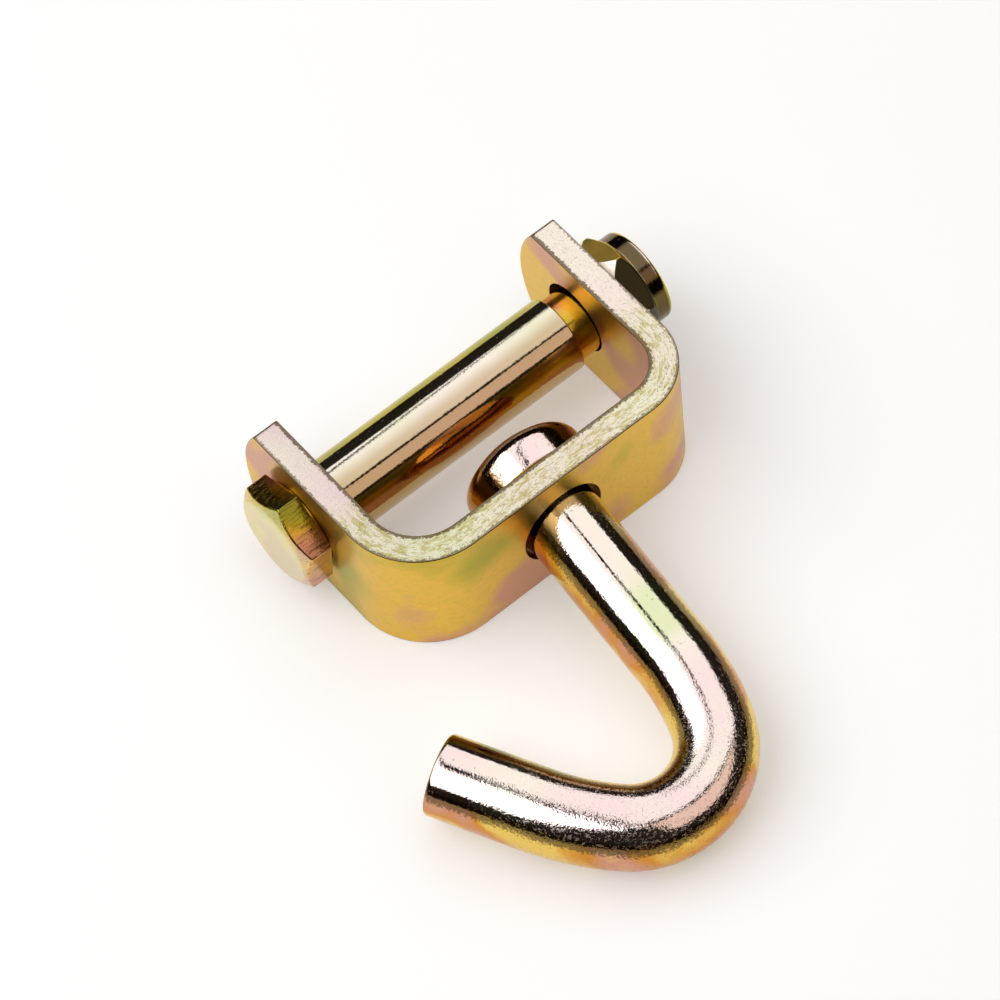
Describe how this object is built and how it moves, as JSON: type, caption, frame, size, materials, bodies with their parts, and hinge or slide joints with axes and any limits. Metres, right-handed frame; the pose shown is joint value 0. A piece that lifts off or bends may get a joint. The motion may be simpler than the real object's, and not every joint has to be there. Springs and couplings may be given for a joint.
{
  "type": "swivel hook",
  "caption": "Webbing end fitting: a J-hook of round bar swivels in the base of a bent flat-bar U, and a bolt with a loose spacer sleeve crosses the ears.",
  "frame": {"origin": "on the cross bolt's axis, midway between the bracket's ears and at mid-width of the flat bar", "axes": "+X along the bolt from its head to its nut, +Y from the hook to the ear tips, +Z out of the U's plane; the fitting lies on the lower edges of the flat bar"},
  "size_m": [0.0907, 0.1015, 0.026],
  "materials": {
    "bracket_zinc": "yellow iridescent zinc plating, satin, paler on the sheared edges",
    "bolt_zinc": "yellow iridescent zinc plating with tool marks on the flats",
    "sleeve_zinc": "yellow iridescent zinc plating, bright",
    "nut_zinc": "yellow iridescent zinc plating, darker olive",
    "insert_nylon": "natural nylon",
    "hook_zinc": "yellow iridescent zinc plating, bright, pink and green in places"
  },
  "bodies": {
    "bracket": {"u_bracket": "bracket_zinc"},
    "bolt": {"cross_bolt": "bolt_zinc", "lock_nut": "nut_zinc", "nut_insert": "insert_nylon"},
    "sleeve": {"spacer_sleeve": "sleeve_zinc"},
    "hook": {"swivel_hook": "hook_zinc"}
  },
  "joints": [
    {"name": "hook_swivel", "type": "hinge", "parent": "bracket", "child": "hook", "pos_m": [0.00025, -0.0261, 0], "axis": [-0.0682, -0.9929, -0.0977], "continuous": true},
    {"name": "bolt_spin", "type": "hinge", "parent": "bracket", "child": "bolt", "pos_m": [0, 0, 0], "axis": [1, 0, 0], "continuous": true},
    {"name": "sleeve_slide", "type": "slide", "parent": "bolt", "child": "sleeve", "axis": [1, 0, 0], "range_m": [0, 0.004]}
  ]
}
